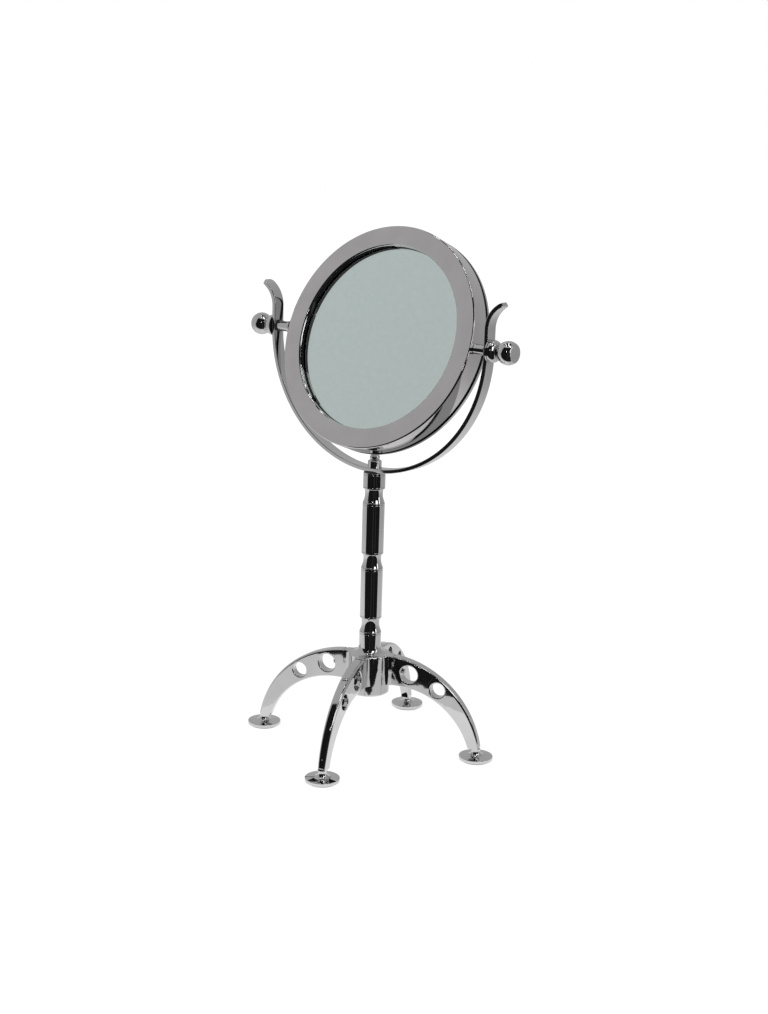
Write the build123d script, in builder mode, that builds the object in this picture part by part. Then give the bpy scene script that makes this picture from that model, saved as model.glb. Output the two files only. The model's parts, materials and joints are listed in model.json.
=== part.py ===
from build123d import *
import os
from math import acos, atan, cos, degrees, hypot, radians, sin, sqrt

# Table mirror: a round swinging mirror in a U-shaped yoke, on a turned column with four cast legs.
# Millimetres. It stands on its pads at z = 0, with the column on the Z axis. The pivot axis runs
# along X, and the mirror faces -Y, tipped back so that it looks a little upwards.

# Stance
base_turn = 16.4
leg_names = ("right", "back", "left", "front")

# Pads and feet
pad_thickness = 1.2
pad_radius = 16.0
foot_radius = 18.3
foot_rim_height = 3.6
foot_neck_radius = 4.6
foot_neck_band = 1.6
foot_edge_rounding = 0.5
foot_rise = 0.6
foot_cove_reach = 10.0
foot_height = 11.4

# Legs
leg_top_height = 104.0
leg_outer_radius = 110.0
leg_inner_radius = 85.5
leg_depth_at_hub = 32.6
leg_inner_reach = 36.0
leg_root_thickness = 13.0
leg_tip_thickness = 9.0
leg_outer_rounding = 2.6
leg_inner_rounding = 1.4
inner_hole_reach = 48.0
inner_hole_web = 4.8
outer_hole_reach = 81.0
outer_hole_web = 3.5
hole_rounding = 1.2

# Hub
hub_radius = 22.0
hub_height = 45.2
hub_edge_rounding = 2.2
hub_top_rounding = 2.2
hub_cavity_radius = 15.6
hub_roof = 8.0
stub_reach = 28.5
stub_fillet = 6.0
collar_height = 6.2
collar_lip = 0.5
screw_seat_depth = 1.0

# Column
column_radius = 11.9
waist_depth = 2.3
waist_height = 15.0
waist_share = 0.62
shoulder_step = 1.6
shoulder_rounding = 1.1
joint_rounding = 0.7
base_section_height = 18.0
long_section_height = 71.6
top_section_height = 32.9
spigot_radius = 7.5
spigot_height = 2.5

# Tie rod and its fasteners
rod_radius = 4.0
nut_width = 13.0
nut_height = 6.5
rod_washer_radius = 8.0
rod_washer_thickness = 1.6
rod_tail = 4.0
rod_chamfer = 0.8

# Small screws
leg_screw_radius = 2.5
leg_screw_grip = 13.0
leg_screw_head_radius = 4.25
leg_screw_head_height = 5.0
hex_socket_width = 4.0
hex_socket_depth = 2.5
foot_screw_radius = 2.0
foot_screw_head_radius = 4.0
foot_screw_grip = 12.0
cover_screw_radius = 1.5
cover_screw_head_radius = 2.7
cover_screw_length = 8.0
slot_width = 0.8
slot_depth = 0.7

# Yoke
arm_gap = 17.1
bar_thickness = 4.5
bar_width = 14.3
bar_rounding = 0.7
seat_depth = 0.5
swivel_washer_thickness = 0.9
pivot_rise = 1.4
horn_start = 21.5
horn_bend_radius = 28.0
horn_angle = 56.0
horn_length = 5.0
horn_corner = 4.4

# Finial nut on top of the rod
finial_radius = 7.4
finial_knob_radius = 5.4
finial_body_height = 8.8
finial_shoulder = 2.4
finial_groove = 0.9
swing_clearance = 1.2

# Mirror head
tilt_angle = 20.5
frame_radius = 120.0
rim_width = 21.6
head_depth = 31.4
pivot_setback = 5.0
plate_thickness = 2.6
wall_thickness = 2.8
lip_thickness = 2.4
lip_depth = 4.6
rib_thickness = 2.0
flange_thickness = 3.6
front_rounding = 1.6
rear_rounding = 2.0
groove_depth = 24.4
groove_radius = 1.8
groove_offset = 0.2
gasket_thickness = 0.7
glass_thickness = 4.0
board_thickness = 3.0
cover_thickness = 1.2
cover_overlap = 8.0
screw_pad_radius = 4.5
screw_pad_height = 5.0
screw_count = 4
first_screw_angle = 45.0
opening_rounding = 2.0
pivot_block_width = 16.0
pivot_block_depth = 11.0
rib_clearance = 3.2

# Pivots
boss_radius = 5.6
boss_flange_radius = 6.2
boss_flange_thickness = 3.2
boss_spot_face = 0.4
stud_radius = 3.0
stud_length = 10.0
bore_floor = 4.0
friction_washer_radius = 6.4
friction_washer_thickness = 1.3
shank_radius = 3.0
shank_engagement = 9.0
knob_washer_radius = 12.0
knob_washer_thickness = 1.4
knob_collar_radius = 11.4
knob_collar_height = 7.6
knob_rim_height = 1.9
knob_neck_radius = 5.2
knob_neck_length = 0.8
ball_radius = 12.1
ball_flat_radius = 9.0

# Clearances
close_gap = 0.05
screw_gap = 0.2
easy_gap = 0.3

# How closely an edge must match a length or a radius to be chosen by it
fine = 0.01


# Heights up the stand
foot_top = pad_thickness + foot_height
hub_bottom = leg_top_height - hub_height
outer_arc_height = leg_top_height - leg_outer_radius
hub_top = outer_arc_height + sqrt(leg_outer_radius**2 - (stub_reach - hub_radius) ** 2)
leg_underside = hub_top - leg_depth_at_hub
inner_arc_height = leg_underside - leg_inner_radius
cavity_top = hub_top - hub_roof
column_bottom = hub_top + collar_height
lower_joint = column_bottom + base_section_height
middle_joint = lower_joint + long_section_height
upper_joint = middle_joint + long_section_height
column_top = upper_joint + top_section_height
yoke_seat = column_top + swivel_washer_thickness

# Yoke and mirror head
arm_inner = frame_radius + arm_gap
arm_outer = arm_inner + bar_thickness
yoke_centre = yoke_seat - seat_depth + arm_outer
yoke_top_face = yoke_centre - arm_inner
pivot_height = yoke_centre + pivot_rise
swing_radius = hypot(frame_radius, head_depth - pivot_setback)
finial_top = pivot_height - swing_radius - swing_clearance

# Distances along the pivot axis, the same on both sides
boss_seat = frame_radius - boss_spot_face
boss_end = arm_inner - friction_washer_thickness
knob_seat = arm_outer + knob_washer_thickness
neck_start = knob_seat + knob_collar_height
ball_centre = neck_start + knob_neck_length + sqrt(ball_radius**2 - knob_neck_radius**2)
knob_end = ball_centre + sqrt(ball_radius**2 - ball_flat_radius**2)
shank_tip = boss_end - shank_engagement

# Depths into the head, measured back from its front face
glass_seat = lip_depth + gasket_thickness
board_seat = glass_seat + glass_thickness
foam_seat = board_seat + board_thickness
cover_seat = head_depth - cover_thickness
opening_radius = frame_radius - rim_width
rib_inner = opening_radius + lip_thickness + rib_clearance
rib_outer = rib_inner + rib_thickness
wall_inner = frame_radius - wall_thickness
glass_radius = rib_inner - easy_gap
flange_opening = rib_outer
cover_radius = flange_opening + cover_overlap
cover_screw_circle = flange_opening + screw_pad_radius

os.makedirs("parts", exist_ok=True)


def write(builder, name):
    builder.part.label = name
    export_step(builder.part, f"parts/{name}.step")


def leg_plane(angle):
    # Upright plane through the column's axis: local X runs out along the leg, local Y is up.
    a = radians(angle)
    return Plane(origin=(0, 0, 0), x_dir=(cos(a), sin(a), 0), z_dir=(sin(a), -cos(a), 0))


def out_along(angle, reach, height):
    a = radians(angle)
    return (reach * cos(a), reach * sin(a), height)


leg_angles = {name: base_turn + 360 / len(leg_names) * i for i, name in enumerate(leg_names)}

# The head's own directions: its normal points out of the glass.
tilt = radians(tilt_angle)
head_normal = Vector(0, -cos(tilt), sin(tilt))
head_up = Vector(0, sin(tilt), cos(tilt))
head_centre = Vector(0, 0, pivot_height)
head_axis = Axis(head_centre, head_normal)


def head_section(depth):
    # Half-section plane of the head: local X is the radius, local Y points out of the glass.
    origin = head_centre + head_normal * (pivot_setback - depth)
    return Plane(origin=origin, x_dir=(1, 0, 0), z_dir=head_up * -1)


def head_face(depth):
    # Plane parallel to the glass, facing the viewer, at this depth behind the front face.
    origin = head_centre + head_normal * (pivot_setback - depth)
    return Plane(origin=origin, x_dir=(1, 0, 0), z_dir=head_normal)


def pivot_plane(side, distance):
    # Plane across the pivot axis, facing outwards on that side, with local Y out of the glass.
    return Plane(origin=(side * distance, 0, pivot_height), x_dir=head_up * side, z_dir=(side, 0, 0))


def pivot_section(side):
    # Half-section plane of a turned piece on the pivot axis: local X outwards, local Y the radius.
    return Plane(origin=(0, 0, pivot_height), x_dir=(side, 0, 0), z_dir=(0, -side, 0))


pivot_axis = Axis((0, 0, pivot_height), (1, 0, 0))


# Leg shape, shared by the legs and the hub's stubs
outer_sweep = degrees(acos((foot_top - outer_arc_height) / leg_outer_radius))
inner_sweep = degrees(acos((foot_top - inner_arc_height) / leg_inner_radius))
leg_end_outer = hub_radius + sqrt(leg_outer_radius**2 - (foot_top - outer_arc_height) ** 2)
foot_reach = leg_end_outer - foot_neck_radius
mean_arc_reach = (hub_radius + leg_inner_reach) / 2
mean_arc_height = (outer_arc_height + inner_arc_height) / 2
mean_arc_radius = (leg_outer_radius + leg_inner_radius) / 2
leg_run = leg_end_outer - stub_reach
taper = degrees(atan((leg_root_thickness - leg_tip_thickness) / 2 / leg_run))


def mean_height(reach):
    return mean_arc_height + sqrt(mean_arc_radius**2 - (reach - mean_arc_reach) ** 2)


def hole_radius(reach, web):
    # Leaves this much metal between the hole and the nearer edge of the leg.
    height = mean_height(reach)
    below_top = leg_outer_radius - hypot(reach - hub_radius, height - outer_arc_height)
    above_underside = hypot(reach - leg_inner_reach, height - inner_arc_height) - leg_inner_radius
    return min(below_top, above_underside) - web


def on_arc(edge, plane, reach, height, radius):
    # True for an edge of the leg that follows the given arc.
    p = plane.to_local_coords(edge.position_at(0.5))
    return abs(hypot(p.X - reach, p.Y - height) - radius) < 0.05


leg_screw_height = (hub_top + leg_underside) / 2
leg_screw_seat = hub_cavity_radius + screw_seat_depth


def leg_screw_plane(angle, reach):
    # Plane across a leg screw, facing out along the leg.
    return Plane(origin=out_along(angle, reach, leg_screw_height), z_dir=leg_plane(angle).x_dir)


for name, angle in leg_angles.items():
    plane = leg_plane(angle)
    with BuildPart() as leg:
        with BuildSketch(plane):
            with BuildLine():
                top = CenterArc((hub_radius, outer_arc_height), leg_outer_radius, 90, -outer_sweep)
                under = CenterArc((leg_inner_reach, inner_arc_height), leg_inner_radius, 90, -inner_sweep)
                Line(top @ 1, under @ 1)
                Polyline(under @ 0, (hub_radius, leg_underside), (hub_radius, leg_top_height))
            make_face()
        extrude(amount=leg_root_thickness / 2, both=True)
        # The sides close in evenly from the hub to the foot.
        for side in (1, -1):
            hinge = plane.from_local_coords((stub_reach, 0, side * leg_root_thickness / 2))
            turn = radians(angle + side * taper)
            cutter = Plane(origin=hinge, z_dir=(side * sin(turn), -side * cos(turn), 0))
            split(bisect_by=cutter, keep=Keep.BOTTOM)
        seam = Plane(origin=out_along(angle, stub_reach, 0), z_dir=plane.x_dir)
        split(bisect_by=seam, keep=Keep.TOP)
        outer_edges = leg.edges().filter_by(
            lambda e: on_arc(e, plane, hub_radius, outer_arc_height, leg_outer_radius)
        )
        fillet(outer_edges, leg_outer_rounding)
        inner_edges = leg.edges().filter_by(
            lambda e: on_arc(e, plane, leg_inner_reach, inner_arc_height, leg_inner_radius)
        )
        fillet(inner_edges, leg_inner_rounding)
        for reach, web in ((inner_hole_reach, inner_hole_web), (outer_hole_reach, outer_hole_web)):
            radius = hole_radius(reach, web)
            with BuildSketch(plane):
                with Locations((reach, mean_height(reach))):
                    Circle(radius)
            extrude(amount=leg_root_thickness, both=True, mode=Mode.SUBTRACT)
            rims = leg.edges().filter_by(
                lambda e: on_arc(e, plane, reach, mean_height(reach), radius)
            )
            fillet(rims, hole_rounding)
        with BuildSketch(Plane(origin=out_along(angle, stub_reach, leg_screw_height), z_dir=plane.x_dir)):
            Circle(leg_screw_radius + close_gap)
        extrude(amount=leg_screw_grip + screw_gap, mode=Mode.SUBTRACT)
        with BuildSketch(Plane(origin=out_along(angle, foot_reach, foot_top), z_dir=(0, 0, 1))):
            Circle(foot_screw_radius + close_gap)
        extrude(amount=foot_screw_grip + screw_gap, mode=Mode.SUBTRACT)
    write(leg, f"leg_{name}")

# Hub: an upright barrel with four stubs that carry the legs, open below around the nut
with BuildPart() as hub:
    # Turned with the legs, so that the barrel's seam line lies inside a stub.
    with BuildSketch(Plane(origin=(0, 0, hub_bottom), x_dir=leg_plane(base_turn).x_dir, z_dir=(0, 0, 1))):
        Circle(hub_radius)
    extrude(amount=hub_top - hub_bottom)
    for angle in leg_angles.values():
        with BuildSketch(leg_plane(angle)):
            with Locations((0, leg_screw_height)):
                Rectangle(stub_reach, leg_depth_at_hub, align=(Align.MIN, Align.CENTER))
        extrude(amount=leg_root_thickness / 2, both=True)
    corners = (
        hub.edges()
        .filter_by(Axis.Z)
        .filter_by(lambda e: abs(hypot(e.center().X, e.center().Y) - hub_radius) < fine)
        .filter_by(lambda e: e.center().Z > leg_underside)
    )
    fillet(corners, stub_fillet)
    fillet(hub.faces().sort_by(Axis.Z)[-1].outer_wire().edges(), hub_top_rounding)
    fillet(hub.faces().sort_by(Axis.Z)[0].outer_wire().edges(), hub_edge_rounding)
    # A coved collar rises from the top to the column.
    with BuildSketch(Plane.XZ):
        with BuildLine():
            collar_edge = (column_radius + collar_lip, column_bottom)
            cove_foot = (hub_radius - hub_top_rounding, hub_top)
            TangentArc(cove_foot, collar_edge, tangent=(-1, 0))
            Polyline(collar_edge, (0, column_bottom), (0, hub_top), cove_foot)
        make_face()
    revolve(axis=Axis.Z)
    with BuildSketch(Plane.XY.offset(hub_bottom)):
        Circle(hub_cavity_radius)
    extrude(amount=cavity_top - hub_bottom, mode=Mode.SUBTRACT)
    with BuildSketch(Plane.XY.offset(cavity_top)):
        Circle(rod_radius + screw_gap)
    extrude(amount=column_bottom - cavity_top, mode=Mode.SUBTRACT)
    # Each leg screw has a hole through its stub, and a flat seat milled in the barrel's inner wall.
    for angle in leg_angles.values():
        with BuildSketch(leg_screw_plane(angle, 0)):
            Circle(leg_screw_radius + screw_gap)
        extrude(amount=stub_reach + stub_fillet, mode=Mode.SUBTRACT)
        with BuildSketch(leg_screw_plane(angle, 0)):
            Circle(leg_screw_head_radius + screw_gap)
        extrude(amount=leg_screw_seat, mode=Mode.SUBTRACT)
write(hub, "hub")

# Leg screws: socket-head screws put in from inside the hub
with BuildPart() as leg_screws:
    for angle in leg_angles.values():
        seat = leg_screw_plane(angle, leg_screw_seat)
        with BuildSketch(seat):
            Circle(leg_screw_radius)
        extrude(amount=stub_reach - leg_screw_seat + leg_screw_grip)
        with BuildSketch(seat):
            Circle(leg_screw_head_radius)
        extrude(amount=-leg_screw_head_height)
        with BuildSketch(seat.offset(-leg_screw_head_height)):
            RegularPolygon(hex_socket_width / 2, 6, major_radius=False)
        extrude(amount=hex_socket_depth, mode=Mode.SUBTRACT)
write(leg_screws, "leg_screws")


# Feet: trumpet-shaped discs, each with a felt pad below and a countersunk screw up into its leg
def foot_section(angle):
    # Upright half-section plane on the foot's own axis: local X is the radius, local Y the height.
    leg = leg_plane(angle)
    return Plane(origin=out_along(angle, foot_reach, 0), x_dir=leg.x_dir, z_dir=leg.z_dir)


sink_depth = foot_screw_head_radius - foot_screw_radius
rim_top = pad_thickness + foot_rim_height

for name, angle in leg_angles.items():
    foot_axis = Axis(out_along(angle, foot_reach, 0), (0, 0, 1))
    with BuildPart() as foot:
        with BuildSketch(foot_section(angle)):
            with BuildLine():
                neck = (foot_neck_radius, foot_top - foot_neck_band)
                rim = (foot_radius - foot_edge_rounding, rim_top)
                cove_start = (foot_cove_reach, rim_top + foot_rise)
                plate = Line(rim, cove_start)
                TangentArc(cove_start, neck, tangent=plate % 1)
                Polyline(
                    neck,
                    (foot_neck_radius, foot_top),
                    (foot_screw_radius + screw_gap, foot_top),
                    (foot_screw_radius + screw_gap, pad_thickness + sink_depth),
                    (foot_screw_head_radius + screw_gap, pad_thickness),
                    (foot_radius - foot_edge_rounding, pad_thickness),
                    (foot_radius, pad_thickness + foot_edge_rounding),
                    (foot_radius, rim_top - foot_edge_rounding),
                    rim,
                )
            make_face()
        revolve(axis=foot_axis)
    write(foot, f"foot_{name}")

    with BuildPart() as pad:
        with BuildSketch(Plane(origin=out_along(angle, foot_reach, 0), z_dir=(0, 0, 1))):
            Circle(pad_radius)
        extrude(amount=pad_thickness)
    write(pad, f"pad_{name}")

with BuildPart() as foot_screws:
    for angle in leg_angles.values():
        with BuildSketch(foot_section(angle)):
            Polygon(
                (0, pad_thickness),
                (foot_screw_head_radius, pad_thickness),
                (foot_screw_radius, pad_thickness + sink_depth),
                (foot_screw_radius, foot_top + foot_screw_grip),
                (0, foot_top + foot_screw_grip),
                align=None,
            )
        revolve(axis=Axis(out_along(angle, foot_reach, 0), (0, 0, 1)))
write(foot_screws, "foot_screws")


# Column: four turned sections on one tie rod, each located by a spigot in the one above
def column_section(name, bottom, top, waisted, spigot):
    with BuildPart() as section:
        with BuildSketch(Plane.XZ):
            with BuildLine():
                shoulder = bottom + waist_height
                inner = column_radius - shoulder_step
                waist_radius = column_radius - waist_depth
                if waisted:
                    flare_end = (column_radius - joint_rounding / 2, bottom + joint_rounding)
                    waist = (waist_radius, bottom + waist_height * waist_share)
                    Polyline((0, bottom), (column_radius - joint_rounding, bottom), flare_end)
                    ThreePointArc(flare_end, waist, (inner, shoulder))
                    Line((inner, shoulder), (column_radius - shoulder_rounding, shoulder))
                    RadiusArc(
                        (column_radius - shoulder_rounding, shoulder),
                        (column_radius, shoulder + shoulder_rounding),
                        -shoulder_rounding,
                    )
                    side_start = (column_radius, shoulder + shoulder_rounding)
                else:
                    Polyline((0, bottom), (column_radius, bottom))
                    side_start = (column_radius, bottom)
                Polyline(
                    side_start,
                    (column_radius, top - joint_rounding),
                    (column_radius - joint_rounding, top),
                    (0, top),
                    (0, bottom),
                )
            make_face()
        revolve(axis=Axis.Z)
        with BuildSketch(Plane.XY.offset(bottom)):
            Circle(rod_radius + screw_gap)
        extrude(amount=top - bottom, mode=Mode.SUBTRACT)
        if spigot:
            with BuildSketch(Plane.XY.offset(top)):
                Circle(spigot_radius)
                Circle(rod_radius + screw_gap, mode=Mode.SUBTRACT)
            extrude(amount=spigot_height)
        if waisted:
            with BuildSketch(Plane.XY.offset(bottom)):
                Circle(spigot_radius + close_gap)
            extrude(amount=spigot_height + easy_gap, mode=Mode.SUBTRACT)
    write(section, name)


column_section("column_base", column_bottom, lower_joint, False, True)
column_section("column_lower", lower_joint, middle_joint, True, True)
column_section("column_upper", middle_joint, upper_joint, True, True)
column_section("column_top", upper_joint, column_top, True, False)

# Tie rod, clamped between the nut in the hub and the finial nut
nut_top = cavity_top - rod_washer_thickness
rod_bottom = nut_top - nut_height - rod_tail
rod_top = yoke_top_face + finial_body_height
with BuildPart() as tie_rod:
    with BuildSketch(Plane.XY.offset(rod_bottom)):
        Circle(rod_radius)
    extrude(amount=rod_top - rod_bottom)
    chamfer(tie_rod.edges().filter_by(GeomType.CIRCLE), rod_chamfer)
write(tie_rod, "tie_rod")

with BuildPart() as rod_nut:
    with BuildSketch(Plane.XY.offset(nut_top - nut_height)):
        RegularPolygon(nut_width / 2, 6, major_radius=False)
        Circle(rod_radius + close_gap, mode=Mode.SUBTRACT)
    extrude(amount=nut_height)
    chamfer(rod_nut.faces().sort_by(Axis.Z)[0].outer_wire().edges(), rod_chamfer)
write(rod_nut, "rod_nut")

with BuildPart() as rod_washer:
    with BuildSketch(Plane.XY.offset(nut_top)):
        Circle(rod_washer_radius)
        Circle(rod_radius + screw_gap, mode=Mode.SUBTRACT)
    extrude(amount=rod_washer_thickness)
write(rod_washer, "rod_washer")

# Swivel washer: a thin nylon ring that the yoke turns on
with BuildPart() as swivel_washer:
    with BuildSketch(Plane.XY.offset(column_top)):
        Circle(column_radius - joint_rounding)
        Circle(rod_radius + screw_gap, mode=Mode.SUBTRACT)
    extrude(amount=swivel_washer_thickness)
write(swivel_washer, "swivel_washer")

# Finial: a cap nut with a small knob on top, which stays clear of the swinging head
with BuildPart() as finial_nut:
    with BuildSketch(Plane.XZ):
        with BuildLine():
            body_top = yoke_top_face + finial_body_height
            knob_middle = (body_top + finial_top) / 2
            Polyline(
                (rod_radius + close_gap, yoke_top_face),
                (finial_radius, yoke_top_face),
                (finial_radius, body_top - finial_shoulder),
            )
            Spline(
                (finial_radius, body_top - finial_shoulder),
                (finial_knob_radius - finial_groove, body_top),
                tangents=((0, 1), (-1, 0.3)),
            )
            ThreePointArc(
                (finial_knob_radius - finial_groove, body_top),
                (finial_knob_radius, knob_middle),
                (finial_knob_radius - finial_shoulder, finial_top),
            )
            Polyline(
                (finial_knob_radius - finial_shoulder, finial_top),
                (0, finial_top),
                (0, body_top + easy_gap),
                (rod_radius + close_gap, body_top + easy_gap),
                (rod_radius + close_gap, yoke_top_face),
            )
        make_face()
    revolve(axis=Axis.Z)
write(finial_nut, "finial_nut")

# Yoke: one flat bar bent to a half circle, straight at the pivots, with its ends curled outwards
horn_direction = Vector(sin(radians(horn_angle)), cos(radians(horn_angle)))
with BuildPart() as yoke:
    with BuildSketch(Plane.XZ):
        with BuildLine():
            half_circle = CenterArc((0, yoke_centre), (arm_inner + arm_outer) / 2, 180, 180)
            for start, side in ((half_circle @ 1, 1), (half_circle @ 0, -1)):
                arm = Line(start, (start.X, pivot_height + horn_start))
                bend = JernArc(arm @ 1, (0, 1), horn_bend_radius, -side * horn_angle)
                Line(bend @ 1, bend @ 1 + Vector(side * horn_direction.X, horn_direction.Y) * horn_length)
        trace(line_width=bar_thickness)
    extrude(amount=bar_width / 2, both=True)
    # The corners of both ends are rounded first, and then the rims of the broad faces.
    across_thickness = yoke.edges().filter_by(lambda e: abs(e.length - bar_thickness) < fine)
    corners = across_thickness.filter_by(lambda e: e.center().Z > pivot_height + horn_start)
    fillet(corners, horn_corner)
    rims = yoke.edges().filter_by(
        lambda e: abs(e.length - bar_thickness) > fine and abs(e.length - bar_width) > fine
    )
    fillet(rims, bar_rounding)
    with BuildSketch(Plane.XY.offset(yoke_seat)):
        Circle(column_radius + easy_gap)
    extrude(amount=-bar_thickness, mode=Mode.SUBTRACT)
    with BuildSketch(Plane.XY.offset(yoke_top_face)):
        Circle(finial_radius + easy_gap)
    extrude(amount=bar_thickness, mode=Mode.SUBTRACT)
    with BuildSketch(Plane.XY.offset(yoke_seat)):
        Circle(rod_radius + screw_gap)
    extrude(amount=bar_thickness, mode=Mode.SUBTRACT)
    with BuildSketch(pivot_plane(1, 0)):
        Circle(shank_radius + close_gap)
    extrude(amount=arm_outer + bar_thickness, both=True, mode=Mode.SUBTRACT)
    # The inner faces are spot-faced at the pivots, where the half circle begins.
    for side in (1, -1):
        with BuildSketch(pivot_plane(side, arm_inner)):
            Circle(friction_washer_radius + easy_gap)
        extrude(amount=-bar_thickness, mode=Mode.SUBTRACT)
write(yoke, "yoke")

# Mirror frame: a round casing with a front plate, a lip and a rib for the glass, and a rear flange
cover_back = head_face(head_depth)
cover_screw_spots = [
    Plane(origin=cover_back.from_local_coords((reach.X, reach.Y, 0)), z_dir=head_normal * -1)
    for reach in (
        Vector(cover_screw_circle, 0).rotate(Axis.Z, first_screw_angle + i * 360 / screw_count)
        for i in range(screw_count)
    )
]
inwards = (Align.CENTER, Align.CENTER, Align.MAX)

with BuildPart() as mirror_frame:
    with BuildSketch(head_section(0)) as casing:
        Polygon(
            (opening_radius, 0),
            (frame_radius, 0),
            (frame_radius, -head_depth),
            (cover_radius + easy_gap, -head_depth),
            (cover_radius + easy_gap, -cover_seat),
            (flange_opening, -cover_seat),
            (flange_opening, flange_thickness - head_depth),
            (wall_inner, flange_thickness - head_depth),
            (wall_inner, -plate_thickness),
            (rib_outer, -plate_thickness),
            (rib_outer, -foam_seat),
            (rib_inner, -foam_seat),
            (rib_inner, -plate_thickness),
            (opening_radius + lip_thickness, -plate_thickness),
            (opening_radius + lip_thickness, -lip_depth),
            (opening_radius, -lip_depth),
            align=None,
        )
        rear_corner = casing.vertices().group_by(Axis.X)[-1].sort_by(Axis.Y)[0]
        fillet(rear_corner, rear_rounding)
        front_corner = casing.vertices().group_by(Axis.X)[-1].sort_by(Axis.Y)[-1]
        fillet(front_corner, front_rounding)
        opening_corner = casing.vertices().group_by(Axis.X)[0].sort_by(Axis.Y)[-1]
        fillet(opening_corner, opening_rounding)
        # A half-round groove sets off the rear rim.
        with Locations((frame_radius + groove_offset, -groove_depth)):
            Circle(groove_radius, mode=Mode.SUBTRACT)
    revolve(axis=head_axis)
    for side in (1, -1):
        # A solid block inside the wall takes the pivot's stud.
        with BuildSketch(pivot_plane(side, rib_inner + rib_thickness / 2)):
            with Locations((0, pivot_setback - plate_thickness / 2)):
                Rectangle(pivot_block_width, pivot_block_depth, align=(Align.CENTER, Align.MAX))
        extrude(amount=wall_inner - rib_inner)
        with BuildSketch(pivot_plane(side, boss_seat - stud_length - screw_gap)):
            Circle(stud_radius + close_gap)
        extrude(amount=stud_length + wall_thickness, mode=Mode.SUBTRACT)
        with BuildSketch(pivot_plane(side, boss_seat)):
            Circle(boss_flange_radius + screw_gap)
        extrude(amount=wall_thickness, mode=Mode.SUBTRACT)
    with Locations(*[spot.offset(cover_seat - head_depth) for spot in cover_screw_spots]):
        Cylinder(screw_pad_radius, flange_thickness + screw_pad_height, align=inwards)
    with Locations(*cover_screw_spots):
        CounterSinkHole(
            cover_screw_radius + close_gap,
            cover_screw_head_radius + close_gap,
            cover_screw_length + screw_gap,
            counter_sink_angle=90,
        )
write(mirror_frame, "mirror_frame")

# Glass, the ring it is bedded on, and what presses it forward
with BuildPart() as glass_gasket:
    with BuildSketch(head_face(lip_depth)):
        Circle(opening_radius + lip_thickness)
        Circle(opening_radius, mode=Mode.SUBTRACT)
    extrude(amount=-gasket_thickness)
write(glass_gasket, "glass_gasket")

for name, start, end in (
    ("mirror_glass", glass_seat, board_seat),
    ("backing_board", board_seat, foam_seat),
    ("foam_pad", foam_seat, cover_seat),
):
    with BuildPart() as layer:
        with BuildSketch(head_face(start)):
            Circle(glass_radius)
        extrude(amount=start - end)
    write(layer, name)

with BuildPart() as back_cover:
    with BuildSketch(head_face(cover_seat)):
        Circle(cover_radius)
    extrude(amount=-cover_thickness)
    with Locations(*cover_screw_spots):
        CounterSinkHole(
            cover_screw_radius + screw_gap,
            cover_screw_head_radius + close_gap,
            cover_screw_length,
            counter_sink_angle=90,
        )
write(back_cover, "back_cover")

with BuildPart() as cover_screws:
    with Locations(*cover_screw_spots):
        Cylinder(cover_screw_radius, cover_screw_length, align=inwards)
        Cone(
            cover_screw_radius,
            cover_screw_head_radius,
            cover_screw_head_radius - cover_screw_radius,
            align=inwards,
        )
        Box(cover_screw_head_radius * 2, slot_width, slot_depth, align=inwards, mode=Mode.SUBTRACT)
write(cover_screws, "cover_screws")


# Knobs: a ball, a neck and a domed collar in one piece, on a threaded shank that clamps the arm
def turned_on_pivot(name, side, profile):
    with BuildPart() as piece:
        with BuildSketch(pivot_section(side)):
            with BuildLine():
                profile()
            make_face()
        revolve(axis=pivot_axis)
    write(piece, name)


def knob_profile():
    ball_start = neck_start + knob_neck_length
    shoulder = knob_seat + knob_rim_height
    Polyline(
        (shank_tip, 0),
        (shank_tip, shank_radius),
        (knob_seat, shank_radius),
        (knob_seat, knob_collar_radius),
        (shoulder, knob_collar_radius),
    )
    TangentArc((shoulder, knob_collar_radius), (neck_start, knob_neck_radius), tangent=(1, 0))
    Line((neck_start, knob_neck_radius), (ball_start, knob_neck_radius))
    ThreePointArc((ball_start, knob_neck_radius), (ball_centre, ball_radius), (knob_end, ball_flat_radius))
    Polyline((knob_end, ball_flat_radius), (knob_end, 0), (shank_tip, 0))


def ring_profile(start, end, inner, outer):
    Polyline((start, inner), (end, inner), (end, outer), (start, outer), (start, inner))


def boss_profile():
    # Stud in the frame's wall, flange on its flat, and a blind bore for the knob's shank
    bore_radius = shank_radius + close_gap
    flange_end = boss_seat + boss_flange_thickness
    Polyline(
        (boss_seat - stud_length, 0),
        (boss_seat - stud_length, stud_radius),
        (boss_seat, stud_radius),
        (boss_seat, boss_flange_radius),
        (flange_end, boss_flange_radius),
        (flange_end, boss_radius),
        (boss_end, boss_radius),
        (boss_end, bore_radius),
        (boss_seat + bore_floor, bore_radius),
        (boss_seat + bore_floor, 0),
        (boss_seat - stud_length, 0),
    )


for name, side in (("left", -1), ("right", 1)):
    turned_on_pivot(f"knob_{name}", side, knob_profile)
    turned_on_pivot(
        f"knob_washer_{name}",
        side,
        lambda: ring_profile(arm_outer, knob_seat, shank_radius + screw_gap, knob_washer_radius),
    )
    turned_on_pivot(
        f"friction_washer_{name}",
        side,
        lambda: ring_profile(boss_end, arm_inner, shank_radius + screw_gap, friction_washer_radius),
    )
    turned_on_pivot(f"pivot_boss_{name}", side, boss_profile)
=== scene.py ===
import bmesh
import bpy
import json
from math import acos, cos, degrees, hypot, pi, radians, sin, sqrt
from mathutils import Matrix, Vector


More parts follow.
